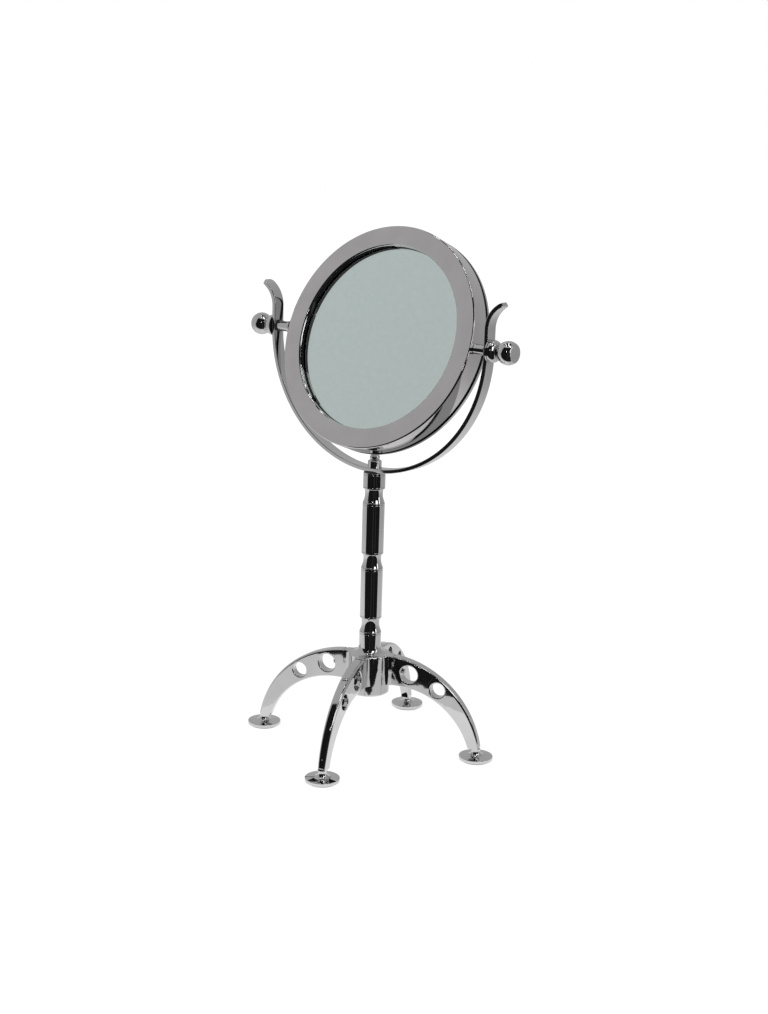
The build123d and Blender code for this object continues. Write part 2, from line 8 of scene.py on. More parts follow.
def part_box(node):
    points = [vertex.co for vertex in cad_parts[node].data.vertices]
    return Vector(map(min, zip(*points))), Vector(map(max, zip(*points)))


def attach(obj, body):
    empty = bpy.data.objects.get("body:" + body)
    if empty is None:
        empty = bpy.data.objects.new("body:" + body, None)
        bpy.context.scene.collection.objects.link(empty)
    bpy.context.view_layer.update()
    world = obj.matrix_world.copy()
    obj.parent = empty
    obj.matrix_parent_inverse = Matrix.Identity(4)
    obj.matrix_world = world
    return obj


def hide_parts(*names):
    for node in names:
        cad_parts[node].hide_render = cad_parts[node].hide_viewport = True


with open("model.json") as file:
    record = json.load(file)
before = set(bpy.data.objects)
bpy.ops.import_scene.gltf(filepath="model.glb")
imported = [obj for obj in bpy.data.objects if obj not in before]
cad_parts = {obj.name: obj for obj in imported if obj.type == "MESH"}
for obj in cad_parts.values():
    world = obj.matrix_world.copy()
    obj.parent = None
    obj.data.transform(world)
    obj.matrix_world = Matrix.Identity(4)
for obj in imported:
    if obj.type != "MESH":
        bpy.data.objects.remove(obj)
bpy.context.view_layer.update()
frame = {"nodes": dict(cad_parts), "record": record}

# Table mirror: a round chrome mirror head in a yoke, on a turned column with four arched legs.
# Metres. Azimuths run from the front of the mirror, -Y, towards its right-hand knob, +X.

record = frame["record"]
body_of_node = {node: body for body, nodes in record["behaviour"]["bodies"].items() for node in nodes}
slot_of_node = {part["node"]: part["material_slot"] for part in record["subparts"]}
camera_azimuth = 37.23
up = Vector((0, 0, 1))


def around(azimuth, radius, height):
    """Point at this azimuth in degrees and distance from the column's axis."""
    a = radians(azimuth)
    return Vector((radius * sin(a), -radius * cos(a), height))


def seen_at(azimuth, elevation, distance, start):
    """Point in this direction from a starting point."""
    e = radians(elevation)
    return start + around(azimuth, distance * cos(e), distance * sin(e))


# Finishes
wipe_depth = 0.0000012


class Finish:
    """A node material on Object coordinates, with the helpers that the finishes share."""

    def __init__(self, name):
        self.material = bpy.data.materials.new(name)
        self.material.use_nodes = True
        self.tree = self.material.node_tree
        self.shader = self.tree.nodes["Principled BSDF"]
        self.coordinates = self.node("ShaderNodeTexCoord").outputs["Object"]

    def node(self, kind):
        return self.tree.nodes.new(kind)

    def link(self, output, target):
        self.tree.links.new(output, target)

    def feed(self, output, socket):
        self.link(output, self.shader.inputs[socket])

    def noise(self, scale, detail=3.0, stretch=(1, 1, 1)):
        mapping = self.node("ShaderNodeMapping")
        mapping.inputs["Scale"].default_value = stretch
        self.link(self.coordinates, mapping.inputs["Vector"])
        texture = self.node("ShaderNodeTexNoise")
        texture.inputs["Scale"].default_value = scale
        texture.inputs["Detail"].default_value = detail
        self.link(mapping.outputs["Vector"], texture.inputs["Vector"])
        return texture.outputs["Fac"]

    def cells(self, scale):
        texture = self.node("ShaderNodeTexVoronoi")
        texture.inputs["Scale"].default_value = scale
        self.link(self.coordinates, texture.inputs["Vector"])
        return texture.outputs["Distance"]

    def spread(self, factor, low, high, start=0.3, end=0.7):
        """Number that runs from low to high while the factor runs from start to end."""
        ranged = self.node("ShaderNodeMapRange")
        for socket, value in (("From Min", start), ("From Max", end), ("To Min", low), ("To Max", high)):
            ranged.inputs[socket].default_value = value
        self.link(factor, ranged.inputs["Value"])
        return ranged.outputs["Result"]

    def shades(self, factor, *stops):
        """Colour ramp through (position, colour) stops."""
        ramp = self.node("ShaderNodeValToRGB")
        band = ramp.color_ramp
        for i, (position, colour) in enumerate(stops):
            stop = band.elements[i] if i < 2 else band.elements.new(position)
            stop.position = position
            stop.color = (*colour, 1)
        self.link(factor, ramp.inputs["Fac"])
        return ramp.outputs["Color"]

    def bump(self, *layers):
        """Relief from (height, distance in metres) layers, one on top of the other."""
        normal = None
        for height, distance in layers:
            relief = self.node("ShaderNodeBump")
            relief.inputs["Strength"].default_value = 1.0
            relief.inputs["Distance"].default_value = distance
            self.link(height, relief.inputs["Height"])
            if normal:
                self.link(normal, relief.inputs["Normal"])
            normal = relief.outputs["Normal"]
        self.feed(normal, "Normal")


def tinted(colour, share):
    return tuple(channel * share for channel in colour)


def chrome(name, tone, haze, wave_scale, wave_height, grain=(1, 1, 1)):
    """Polished plating: cloudy smudges in the gloss, fine wipe marks and the soft waves of polishing."""
    finish = Finish(name)
    smudges = finish.noise(38, detail=4)
    wipe_marks = finish.noise(420, detail=2, stretch=grain)
    finish.shader.inputs["Metallic"].default_value = 1.0
    finish.feed(finish.shades(smudges, (0.35, tinted(tone, 0.93)), (0.7, tone)), "Base Color")
    finish.feed(finish.spread(smudges, haze, haze * 2.4, 0.45, 0.8), "Roughness")
    finish.bump((finish.noise(wave_scale, detail=1), wave_height), (wipe_marks, wipe_depth))
    return finish.material


def silvered_glass():
    """Silvered glass: a faint green cast and a breath of dust."""
    finish = Finish("silvered_glass")
    dust = finish.noise(160, detail=6)
    finish.shader.inputs["Metallic"].default_value = 1.0
    finish.feed(finish.shades(dust, (0.35, (0.78, 0.885, 0.865)), (0.75, (0.81, 0.91, 0.89))), "Base Color")
    finish.feed(finish.spread(dust, 0.008, 0.03, 0.5, 0.85), "Roughness")
    finish.bump((finish.noise(7, detail=1), 0.00002))
    return finish.material


def clear_glass():
    """The pane before the silver: clear, faintly green, with a little dust on it."""
    finish = Finish("clear_glass")
    dust = finish.noise(240, detail=5)
    finish.shader.inputs["Transmission Weight"].default_value = 1.0
    finish.shader.inputs["IOR"].default_value = 1.5
    finish.feed(finish.shades(dust, (0.4, (0.985, 1.0, 0.995)), (0.8, (0.95, 0.975, 0.965))), "Base Color")
    finish.feed(finish.spread(dust, 0.0, 0.02, 0.62, 0.9), "Roughness")
    finish.bump((finish.noise(9, detail=1), 0.000004))
    return finish.material


def groove_painted_shade():
    """Painted shade for the casing's groove: a near-black metal, far darker than its polished chrome would be
    there.
    """
    finish = Finish("groove_painted_shade")
    # Noise that mottles the groove's painted shade, in colour, roughness and relief.
    shade_mottling = finish.noise(300, detail=4)
    finish.shader.inputs["Metallic"].default_value = 1.0
    finish.feed(finish.shades(shade_mottling, (0.3, (0.012, 0.013, 0.014)), (0.7, (0.05, 0.053, 0.056))), "Base Color")
    finish.feed(finish.spread(shade_mottling, 0.22, 0.4), "Roughness")
    finish.bump((shade_mottling, 0.000008))
    return finish.material


def plain_steel():
    finish = Finish("plain_steel")
    brushing = finish.noise(900, detail=3, stretch=(1, 1, 0.12))
    finish.shader.inputs["Metallic"].default_value = 1.0
    finish.feed(finish.shades(brushing, (0.3, (0.42, 0.43, 0.44)), (0.7, (0.55, 0.56, 0.57))), "Base Color")
    finish.feed(finish.spread(brushing, 0.24, 0.42), "Roughness")
    finish.bump((brushing, 0.000006))
    return finish.material


def moulded(name, dark, light, shine, grain_scale, grain_depth):
    """Moulded nylon or rubber: a fine grain and slightly uneven shine."""
    finish = Finish(name)
    grain = finish.noise(grain_scale, detail=3)
    patches = finish.noise(60, detail=2)
    finish.feed(finish.shades(patches, (0.3, dark), (0.7, light)), "Base Color")
    finish.feed(finish.spread(patches, shine, shine + 0.18), "Roughness")
    finish.bump((grain, grain_depth))
    return finish.material


def black_felt():
    finish = Finish("black_felt")
    fibres = finish.noise(1500, detail=5, stretch=(1, 1, 0.4))
    finish.feed(
        finish.shades(fibres, (0.3, (0.012, 0.012, 0.013)), (0.75, (0.05, 0.05, 0.052))), "Base Color"
    )
    finish.shader.inputs["Roughness"].default_value = 0.95
    finish.shader.inputs["Sheen Weight"].default_value = 0.35
    finish.shader.inputs["Sheen Roughness"].default_value = 0.5
    finish.bump((fibres, 0.00018))
    return finish.material


def hardboard():
    finish = Finish("hardboard")
    fibres = finish.noise(520, detail=6, stretch=(1, 0.35, 1))
    finish.feed(finish.shades(fibres, (0.3, (0.27, 0.17, 0.10)), (0.7, (0.43, 0.30, 0.19))), "Base Color")
    finish.feed(finish.spread(fibres, 0.7, 0.9), "Roughness")
    finish.bump((fibres, 0.00006))
    return finish.material


def grey_foam():
    finish = Finish("grey_foam")
    pores = finish.cells(1100)
    finish.feed(finish.shades(pores, (0.1, (0.16, 0.16, 0.165)), (0.6, (0.36, 0.36, 0.37))), "Base Color")
    finish.shader.inputs["Roughness"].default_value = 0.95
    finish.bump((pores, 0.0003))
    return finish.material


# Tone, haze, and the scale and height of the polishing's waves
chrome_tone = (0.60, 0.60, 0.605)
plate_tone = (0.615, 0.60, 0.60)
cast_chrome = chrome("cast_chrome", chrome_tone, 0.035, 70, 0.00014)
turned_chrome = chrome("turned_chrome", chrome_tone, 0.022, 90, 0.00002, grain=(1, 1, 8))
plate_chrome = chrome("plate_chrome", plate_tone, 0.03, 26, 0.00010)
bar_chrome = chrome("bar_chrome", chrome_tone, 0.03, 45, 0.00010, grain=(1, 6, 1))

finish_of_slot = {
    "plain_steel": plain_steel(),
    "black_nylon": moulded(
        "black_nylon",
        (0.012, 0.012, 0.013),
        (0.03, 0.03, 0.032),
        shine=0.38,
        grain_scale=700,
        grain_depth=0.00001,
    ),
    "black_rubber": moulded(
        "black_rubber",
        (0.015, 0.015, 0.016),
        (0.04, 0.04, 0.042),
        shine=0.55,
        grain_scale=900,
        grain_depth=0.00002,
    ),
    "black_felt": black_felt(),
    "silvered_glass": clear_glass(),
    "hardboard": hardboard(),
    "grey_foam": grey_foam(),
}


def chrome_for(node):
    if node.startswith(("leg_", "foot_", "hub")):
        return cast_chrome
    if node.startswith(("mirror_frame", "back_cover")):
        return plate_chrome
    return bar_chrome if node == "yoke" else turned_chrome


# Sizes of the turned and bent pieces, in millimetres until they are built
mm = 0.001
head_tilt = radians(20.5)
head_normal = Vector((0, -cos(head_tilt), sin(head_tilt)))
glass_depth = 5.3
glass_thickness = 4.0
glass_radius = 103.7
silver_inset = 0.06
silver_thickness = 0.03
frame_radius = 120.0
wall_inner = 117.2
opening_radius = 98.4
lip_outer = 100.8
lip_depth = 4.6
rib_inner = 104.0
rib_outer = 106.0
rib_depth = 12.3
plate_depth = 2.6
head_depth = 31.4
flange_depth = 27.8
cover_depth = 30.2
cover_recess = 114.3
front_rounding = 1.6
opening_rounding = 2.0
rear_rounding = 2.0
groove_radius = 2.2
groove_depth = 24.6
groove_offset = 0.2

column_radius = 11.9
bore_radius = 4.2
joint_rounding = 0.7
ring_height = 2.3
ring_groove_radius = 0.35
ring_groove_depth = 0.4
waist_height = 15.0
waist_radius = 9.6
waist_share = 0.62
shoulder_radius = 10.3
shoulder_rounding = 1.1
spigot_height = 2.5

collar_radius = 11.4
collar_rim = 1.9
collar_height = 7.6
neck_radius = 5.2
neck_length = 0.8
ball_radius = 12.1
ball_flat_radius = 9.0
ball_flat_rounding = 0.7
ball_edge_easing = 1.5
shank_radius = 3.0

foot_radius = 18.3
foot_rim_height = 3.6
foot_rounding = 0.5
foot_rim_turn = 86
foot_rise = 0.6
foot_cove_reach = 10.0
foot_neck_radius = 4.6
foot_neck_band = 1.6
foot_bore = 2.2
foot_sink = 4.2

bar_thickness = 4.5
bar_width = 14.3
bar_rounding = 0.7
arm_middle = 139.35
pivot_rise = 1.4
horn_start = 21.5
horn_bend_radius = 28.0
horn_angle = 56.0
horn_length = 5.0
horn_corner = 4.4
seat_radius = 12.2
finial_seat_radius = 7.7
pin_bore = 3.05
cut_length = 10.0

weld_distance = 0.000002
loose_match = 0.00002
crease_angle = radians(38)
rim_angle = radians(60)


def place_piece(shape, name, node, material):
    """Smooth object of a finished shape, which stands for a CAD node."""
    mesh = bpy.data.meshes.new(name)
    shape.to_mesh(mesh)
    shape.free()
    if "custom_normal" in mesh.attributes:
        mesh.attributes.remove(mesh.attributes["custom_normal"])
    mesh.materials.clear()
    piece = bpy.data.objects.new(name, mesh)
    bpy.context.scene.collection.objects.link(piece)
    wear(piece, material)
    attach(piece, body_of_node[node])
    return piece


def smooth(piece):
    """Smooth shading in which flat faces keep their own direction beside a rounded edge."""
    piece.data.shade_smooth()
    piece.data.set_sharp_from_angle(angle=crease_angle)
    weighted = piece.modifiers.new("flat_faces_first", "WEIGHTED_NORMAL")
    weighted.mode = "FACE_AREA"
    weighted.weight = 50
    weighted.keep_sharp = True


def wear(thing, material):
    if not thing.material_slots:
        thing.data.materials.append(material)
    for place in thing.material_slots:
        place.material = material


def polished_copy(node):
    """Copy of a CAD node with its triangles welded, so that its curved chrome reflects without facets."""
    shape = bmesh.new()
    shape.from_mesh(frame["nodes"][node].data)
    bmesh.ops.remove_doubles(shape, verts=shape.verts, dist=weld_distance)
    bmesh.ops.dissolve_degenerate(shape, edges=shape.edges, dist=weld_distance / 2)
    piece = place_piece(shape, "polished_" + node, node, chrome_for(node))
    smooth(piece)
    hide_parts(node)


def bow(centre, radius, start, end, steps):
    """Points of a profile along an arc, by angles in degrees from the outward direction."""
    angles = [radians(start + (end - start) * i / steps) for i in range(steps + 1)]
    return [(centre[0] + radius * cos(a), centre[1] + radius * sin(a)) for a in angles]


def turned(name, node, base, axis, profile, material, steps, closed=True):
    """Piece turned on a lathe from (radius, height) points in millimetres, with heights from its base."""
    across = axis.orthogonal().normalized()
    shape = bmesh.new()
    rim = [shape.verts.new(base + across * (r * mm) + axis * (h * mm)) for r, h in profile]
    ends = rim[1:] + rim[:1] if closed else rim[1:]
    edges = [shape.edges.new(pair) for pair in zip(rim, ends)]
    bmesh.ops.spin(
        shape, geom=rim + edges, cent=base, axis=axis, angle=2 * pi, steps=steps, use_merge=True
    )
    bmesh.ops.remove_doubles(shape, verts=shape.verts, dist=weld_distance)
    bmesh.ops.recalc_face_normals(shape, faces=shape.faces)
    piece = place_piece(shape, name, node, material)
    smooth(piece)
    return piece


def middle_of(node):
    low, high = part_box(node)
    return (low + high) / 2


face_centre = middle_of("mirror_glass") + head_normal * ((glass_depth + glass_thickness / 2) * mm)


def casing_profile():
    """Section of the casing: its lip, wall with a groove, hollow back and the rib round the glass."""
    groove_centre = (frame_radius + groove_offset, -groove_depth)
    groove_opening = degrees(acos((frame_radius - groove_centre[0]) / groove_radius))
    return [
        *bow((opening_radius + opening_rounding, -opening_rounding), opening_rounding, 180, 90, 8),
        *bow((frame_radius - front_rounding, -front_rounding), front_rounding, 90, 0, 8),
        *bow(groove_centre, groove_radius, groove_opening, 360 - groove_opening, 16),
        *bow((frame_radius - rear_rounding, rear_rounding - head_depth), rear_rounding, 0, -90, 8),
        (cover_recess, -head_depth),
        (cover_recess, -cover_depth),
        (rib_outer, -cover_depth),
        (rib_outer, -flange_depth),
        (wall_inner, -flange_depth),
        (wall_inner, -plate_depth),
        (rib_outer, -plate_depth),
        (rib_outer, -rib_depth),
        (rib_inner, -rib_depth),
        (rib_inner, -plate_depth),
        (lip_outer, -plate_depth),
        (lip_outer, -lip_depth),
        (opening_radius, -lip_depth),
    ]


def paint_shade_in_groove(casing):
    """Paints shade into the groove: its faces get the near-black metal, because polished they would be pale
    here.
    """
    casing.data.materials.append(groove_painted_shade())
    for face in casing.data.polygons:
        from_front = (face.center - face_centre).dot(head_normal) / mm
        from_axis = (face.center - face_centre - head_normal * (from_front * mm)).length / mm
        beside_groove = abs(from_front + groove_depth) < groove_radius
        if beside_groove and wall_inner < from_axis < frame_radius:
            face.material_index = 1


casing = turned(
    "casing", "mirror_frame", face_centre, head_normal, casing_profile(), plate_chrome, steps=288
)
# The groove's black line is painted shade, given by a near-black material on its faces.
paint_shade_in_groove(casing)
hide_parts("mirror_frame")

# The silver lies on the back of the pane, so the mirror image is seen through the glass.
silver_front = silver_inset - glass_depth - glass_thickness
silver_back = silver_front - silver_thickness
silver_profile = [
    (0, silver_front),
    (glass_radius, silver_front),
    (glass_radius, silver_back),
    (0, silver_back),
]
turned(
    "silvering",
    "mirror_glass",
    face_centre,
    head_normal,
    silver_profile,
    silvered_glass(),
    steps=192,
    closed=False,
)


def circle_through(*points):
    """Centre and radius of the circle through three points of a profile."""
    (x1, y1), (x2, y2), (x3, y3) = points
    s1, s2, s3 = (x**2 + y**2 for x, y in points)
    share = 2 * (x1 * (y2 - y3) + x2 * (y3 - y1) + x3 * (y1 - y2))
    x = (s1 * (y2 - y3) + s2 * (y3 - y1) + s3 * (y1 - y2)) / share
    y = (s1 * (x3 - x2) + s2 * (x1 - x3) + s3 * (x2 - x1)) / share
    return x, y, hypot(x1 - x, y1 - y)


def ring_groove(height):
    """Fine groove round a barrel, read from the doubled bright lines at the joints."""
    return [
        (column_radius, height - ring_groove_radius),
        (column_radius - ring_groove_depth, height),
        (column_radius, height + ring_groove_radius),
    ]


def waisted_foot():
    """Lower end of a section: a waist that flares to the joint below, with a rounded shoulder above it."""
    flare = (column_radius - joint_rounding / 2, joint_rounding)
    narrowest = (waist_radius, waist_height * waist_share)
    shoulder = (shoulder_radius, waist_height)
    x, y, reach = circle_through(flare, narrowest, shoulder)
    flare_angle = 180 + degrees(acos((x - flare[0]) / reach))
    shoulder_angle = 180 - degrees(acos((x - shoulder[0]) / reach))
    shoulder_turn = (column_radius - shoulder_rounding, waist_height + shoulder_rounding)
    return [
        (bore_radius, 0),
        (column_radius - joint_rounding, 0),
        *bow((x, y), reach, flare_angle, shoulder_angle, 16),
        *bow(shoulder_turn, shoulder_rounding, -90, 0, 6),
        *ring_groove(waist_height + ring_height),
    ]


def section_profile(height, waisted):
    """A section of the column, which is a straight barrel up to the joint above."""
    return [
        *(waisted_foot() if waisted else [(bore_radius, 0), (column_radius, 0)]),
        *ring_groove(height - ring_height),
        *bow((column_radius - joint_rounding, height - joint_rounding), joint_rounding, 0, 90, 4),
        (bore_radius, height),
    ]


for node in ("column_base", "column_lower", "column_upper", "column_top"):
    low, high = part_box(node)
    spigot = 0 if node == "column_top" else spigot_height
    profile = section_profile((high.z - low.z) / mm - spigot, node != "column_base")
    base = Vector((0, 0, low.z))
    section = turned("turned_" + node, node, base, up, profile, turned_chrome, steps=144)
    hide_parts(node)


def knob_profile(shank_end):
    """Section of a knob, outwards from its shank: domed collar, neck and ball with a flat end."""
    dome_rise = collar_height - collar_rim
    dome_run = collar_radius - neck_radius
    dome = (dome_rise**2 + dome_run**2) / (2 * dome_run)
    dome_sweep = degrees(acos((dome - dome_run) / dome))
    ball_start = collar_height + neck_length
    ball_middle = ball_start + sqrt(ball_radius**2 - neck_radius**2)
    ball_end = ball_middle + sqrt(ball_radius**2 - ball_flat_radius**2)
    neck_angle = 180 - degrees(acos(sqrt(1 - (neck_radius / ball_radius) ** 2)))
    flat_angle = degrees(acos(sqrt(1 - (ball_flat_radius / ball_radius) ** 2)))
    # The points are (height, radius) here, and turned round at the end.
    points = [
        (shank_end, 0),
        (shank_end, shank_radius),
        (0, shank_radius),
        (0, collar_radius),
        *bow((collar_rim, collar_radius - dome), dome, 90, 90 - dome_sweep, 12),
        (ball_start, neck_radius),
        *bow((ball_middle, 0), ball_radius, neck_angle, flat_angle + ball_edge_easing, 40),
        (ball_end, ball_flat_radius - ball_flat_rounding),
        (ball_end, 0),
    ]
    return [(radius, height) for height, radius in points]


for side, node in ((1, "knob_right"), (-1, "knob_left")):
    washer_low, washer_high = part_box(node.replace("knob", "knob_washer"))
    knob_low, knob_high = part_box(node)
    seat = washer_high.x if side > 0 else -washer_low.x
    tip = knob_low.x if side > 0 else -knob_high.x
    middle = middle_of(node)
    base = Vector((side * seat, middle.y, middle.z))
    outwards = Vector((side, 0, 0))
    profile = knob_profile((tip - seat) / mm)
    knob = turned(
        "turned_" + node, node, base, outwards, profile, turned_chrome, steps=96, closed=False
    )
    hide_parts(node)


def foot_profile(height):
    """Section of a foot: a disc that rises in a cove to a short neck, with its screw's hole."""
    cove_start = foot_rim_height + foot_rise
    cove_rise = height - foot_neck_band - cove_start
    cove_run = foot_cove_reach - foot_neck_radius
    cove = (cove_rise**2 + cove_run**2) / (2 * cove_rise)
    cove_sweep = degrees(acos((cove - cove_rise) / cove))
    rim_middle = foot_radius - foot_rounding
    return [
        (foot_bore, height),
        (foot_bore, foot_sink - foot_bore),
        (foot_sink, 0),
        *bow((rim_middle, foot_rounding), foot_rounding, -90, 0, 4),
        *bow((rim_middle, foot_rim_height - foot_rounding), foot_rounding, 0, foot_rim_turn, 4),
        *bow((foot_cove_reach, cove_start + cove), cove, -90, -90 - cove_sweep, 12),
        (foot_neck_radius, height),
    ]


for node in ("foot_right", "foot_back", "foot_left", "foot_front"):
    low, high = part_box(node)
    middle = middle_of(node)
    base = Vector((middle.x, middle.y, low.z))
    profile = foot_profile((high.z - low.z) / mm)
    foot = turned("turned_" + node, node, base, up, profile, cast_chrome, steps=96)
    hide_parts(node)


def drill(piece, start, end, radius):
    """Cuts a round hole between two points."""
    hole = bmesh.new()
    bmesh.ops.create_cone(
        hole, cap_ends=True, segments=64, radius1=radius, radius2=radius, depth=(end - start).length
    )
    turn = (end - start).to_track_quat("Z", "Y").to_matrix().to_4x4()
    bmesh.ops.transform(hole, matrix=Matrix.Translation((start + end) / 2) @ turn, verts=hole.verts)
    mesh = bpy.data.meshes.new("drill")
    hole.to_mesh(mesh)
    hole.free()
    cutter = bpy.data.objects.new("drill", mesh)
    bpy.context.scene.collection.objects.link(cutter)
    cut = piece.modifiers.new("hole", "BOOLEAN")
    cut.operation = "DIFFERENCE"
    cut.solver = "EXACT"
    cut.object = cutter
    bpy.context.view_layer.update()
    whole = piece.data
    piece.data = bpy.data.meshes.new_from_object(piece.evaluated_get(bpy.context.evaluated_depsgraph_get()))
    piece.modifiers.remove(cut)
    bpy.data.meshes.remove(whole)
    bpy.data.objects.remove(cutter)


def push_out(shape, face, way):
    """Draws a face out straight and returns the new end face."""
    drawn = bmesh.ops.extrude_face_region(shape, geom=[face])["geom"]
    bmesh.ops.translate(shape, vec=way, verts=[v for v in drawn if isinstance(v, bmesh.types.BMVert)])
    shape.faces.remove(face)
    return next(f for f in drawn if isinstance(f, bmesh.types.BMFace))


def sweep_round(shape, face, centre, angle, steps):
    """Draws a face round an axis along Y and returns the new end face."""
    swept = bmesh.ops.spin(
        shape,
        geom=[face, *face.edges, *face.verts],
        cent=centre,
        axis=(0, 1, 0),
        angle=radians(angle),
        steps=steps,
    )["geom_last"]
    return next(f for f in swept if isinstance(f, bmesh.types.BMFace))


def round_off(shape, edges, radius, segments):
    bmesh.ops.bevel(
        shape, geom=edges, offset=radius * mm, segments=segments, profile=0.5, affect="EDGES", material=-1
    )


def bent_bar(pivot):
    """Flat bar swept along a quarter circle, up the arm and round the horn, and mirrored."""
    yoke_centre = pivot.z - pivot_rise * mm
    half_width = bar_width / 2 * mm
    bar = bmesh.new()
    corners = [
        bar.verts.new((0, y, yoke_centre - (arm_middle + t * bar_thickness / 2) * mm))
        for y, t in ((-half_width, -1), (half_width, -1), (half_width, 1), (-half_width, 1))
    ]
    end = sweep_round(bar, bar.faces.new(corners), (0, 0, yoke_centre), -90, 60)
    arm_top = pivot.z + horn_start * mm
    end = push_out(bar, end, Vector((0, 0, arm_top - yoke_centre)))
    horn_centre = ((arm_middle + horn_bend_radius) * mm, 0, arm_top)
    end = sweep_round(bar, end, horn_centre, horn_angle, 20)
    horn_way = Vector((sin(radians(horn_angle)), 0, cos(radians(horn_angle))))
    end = push_out(bar, end, horn_way * (horn_length * mm))
    across_tip = [e for e in end.edges if abs(e.calc_length() - bar_thickness * mm) < loose_match]
    round_off(bar, across_tip, horn_corner, 8)
    first_faces = [f for f in bar.faces if all(abs(v.co.x) < weld_distance for v in f.verts)]
    bmesh.ops.delete(bar, geom=first_faces, context="FACES_ONLY")
    bmesh.ops.recalc_face_normals(bar, faces=bar.faces)
    rims = [e for e in bar.edges if len(e.link_faces) == 2 and e.calc_face_angle() > rim_angle]
    round_off(bar, rims, bar_rounding, 3)
    bmesh.ops.mirror(
        bar, geom=[*bar.verts, *bar.edges, *bar.faces], merge_dist=weld_distance, axis="X"
    )
    bmesh.ops.remove_doubles(bar, verts=bar.verts, dist=weld_distance)
    bmesh.ops.recalc_face_normals(bar, faces=bar.faces)
    return bar


pivot = middle_of("pivot_boss_right")
yoke = place_piece(bent_bar(pivot), "bent_yoke", "yoke", bar_chrome)
seat = Vector((0, 0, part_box("swivel_washer")[1].z))
finial_seat = Vector((0, 0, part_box("finial_nut")[0].z))
cut = up * (cut_length * mm)
drill(yoke, seat - cut, seat, seat_radius * mm)
drill(yoke, finial_seat, finial_seat + cut, finial_seat_radius * mm)
drill(yoke, seat - cut, finial_seat + cut, bore_radius * mm)
for side in (1, -1):
    start = Vector((side * (arm_middle - bar_thickness) * mm, pivot.y, pivot.z))
    drill(yoke, start, start + Vector((side * 2 * bar_thickness * mm, 0, 0)), pin_bore * mm)
smooth(yoke)
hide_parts("yoke")

# What isn't made anew above keeps its CAD form, and its chrome is smoothed.
remade = ("mirror_frame", "yoke", "column_", "foot_", "knob_right", "knob_left")
for node, thing in frame["nodes"].items():
    slot = slot_of_node[node]
    wear(thing, finish_of_slot.get(slot) or chrome_for(node))
    if slot == "polished_chrome" and not node.startswith(remade):
        polished_copy(node)


# Studio, which only the gloss, the floor and the background show

def studio_surface(name, material, profile, start, sweep, steps):
    """Studio surface spun round the column's axis from a profile of (radius, height) points."""
    shape = bmesh.new()
    rim = [shape.verts.new(around(start, radius, height)) for radius, height in profile]
    edges = [shape.edges.new(pair) for pair in zip(rim, rim[1:])]
    bmesh.ops.spin(
        shape,
        geom=rim + edges,
        cent=(0, 0, 0),
        axis=up,
        angle=radians(sweep),
        steps=steps,
        use_merge=sweep == 360,
    )
    mesh = bpy.data.meshes.new(name)
    shape.to_mesh(mesh)
    shape.free()
    return studio_object(name, mesh, material)


def studio_object(name, mesh, material):
    surface = bpy.data.objects.new(name, mesh)
    bpy.context.scene.collection.objects.link(surface)
    mesh.materials.append(material)
    return surface


def seen_in_gloss_only(surface):
    surface.visible_camera = False
    surface.visible_diffuse = False
    surface.visible_volume_scatter = False
    surface.visible_shadow = False


def card(name, material, centre, facing, width, height):
    """Flat studio card turned to face a point."""
    shape = bmesh.new()
    bmesh.ops.create_grid(shape, x_segments=1, y_segments=1, size=0.5)
    bmesh.ops.scale(shape, vec=(width, height, 1), verts=shape.verts)
    turn = (facing - centre).to_track_quat("Z", "Y").to_matrix().to_4x4()
    bmesh.ops.transform(shape, matrix=Matrix.Translation(centre) @ turn, verts=shape.verts)
    mesh = bpy.data.meshes.new(name)
    shape.to_mesh(mesh)
    shape.free()
    seen_in_gloss_only(studio_object(name, mesh, material))


def glowing(name, strength):
    """Even light of this strength."""
    glow = Finish(name)
    emission = glow.node("ShaderNodeEmission")
    emission.inputs["Strength"].default_value = strength
    glow.link(emission.outputs["Emission"], glow.tree.nodes["Material Output"].inputs["Surface"])
    return glow, emission


# Light tent: grey cloth all round, which changes slowly in tone from side to side
tent_glow, tent_emission = glowing("tent_cloth", 1.0)
split_place = tent_glow.node("ShaderNodeSeparateXYZ")
tent_glow.link(tent_glow.coordinates, split_place.inputs["Vector"])
bearing = tent_glow.node("ShaderNodeMath")
bearing.operation = "ARCTAN2"
tent_glow.link(split_place.outputs["X"], bearing.inputs[0])
behind = tent_glow.node("ShaderNodeMath")
behind.operation = "MULTIPLY"
behind.inputs[1].default_value = -1.0
tent_glow.link(split_place.outputs["Y"], behind.inputs[0])
tent_glow.link(behind.outputs["Value"], bearing.inputs[1])
round_the_tent = tent_glow.spread(bearing.outputs["Value"], 0.0, 1.0, -pi, pi)
# Azimuth in degrees and the cloth's brightness there
tent_tones = (
    (-180, 0.50),
    (-110, 0.56),
    (-60, 0.56),
    (-39, 0.53),
    (105, 0.46),
    (143, 0.43),
    (180, 0.50),
)
tent_stops = [((azimuth + 180) / 360, (tone, tone, tone)) for azimuth, tone in tent_tones]
tent_glow.link(tent_glow.shades(round_the_tent, *tent_stops), tent_emission.inputs["Color"])
# Its floor is brighter than its wall, and the wall fades upwards.
from_axis = tent_glow.node("ShaderNodeVectorMath")
from_axis.operation = "LENGTH"
tent_glow.link(tent_glow.coordinates, from_axis.inputs[0])
floor_share = tent_glow.spread(from_axis.outputs["Value"], 1.6, 1.2, 0.55, 1.0)
wall_share = tent_glow.spread(split_place.outputs["Z"], 1.0, 0.83, 0.0, 0.3)
brightness = tent_glow.node("ShaderNodeMath")
brightness.operation = "MULTIPLY"
tent_glow.link(floor_share, brightness.inputs[0])
tent_glow.link(wall_share, brightness.inputs[1])
tent_glow.link(brightness.outputs["Value"], tent_emission.inputs["Strength"])

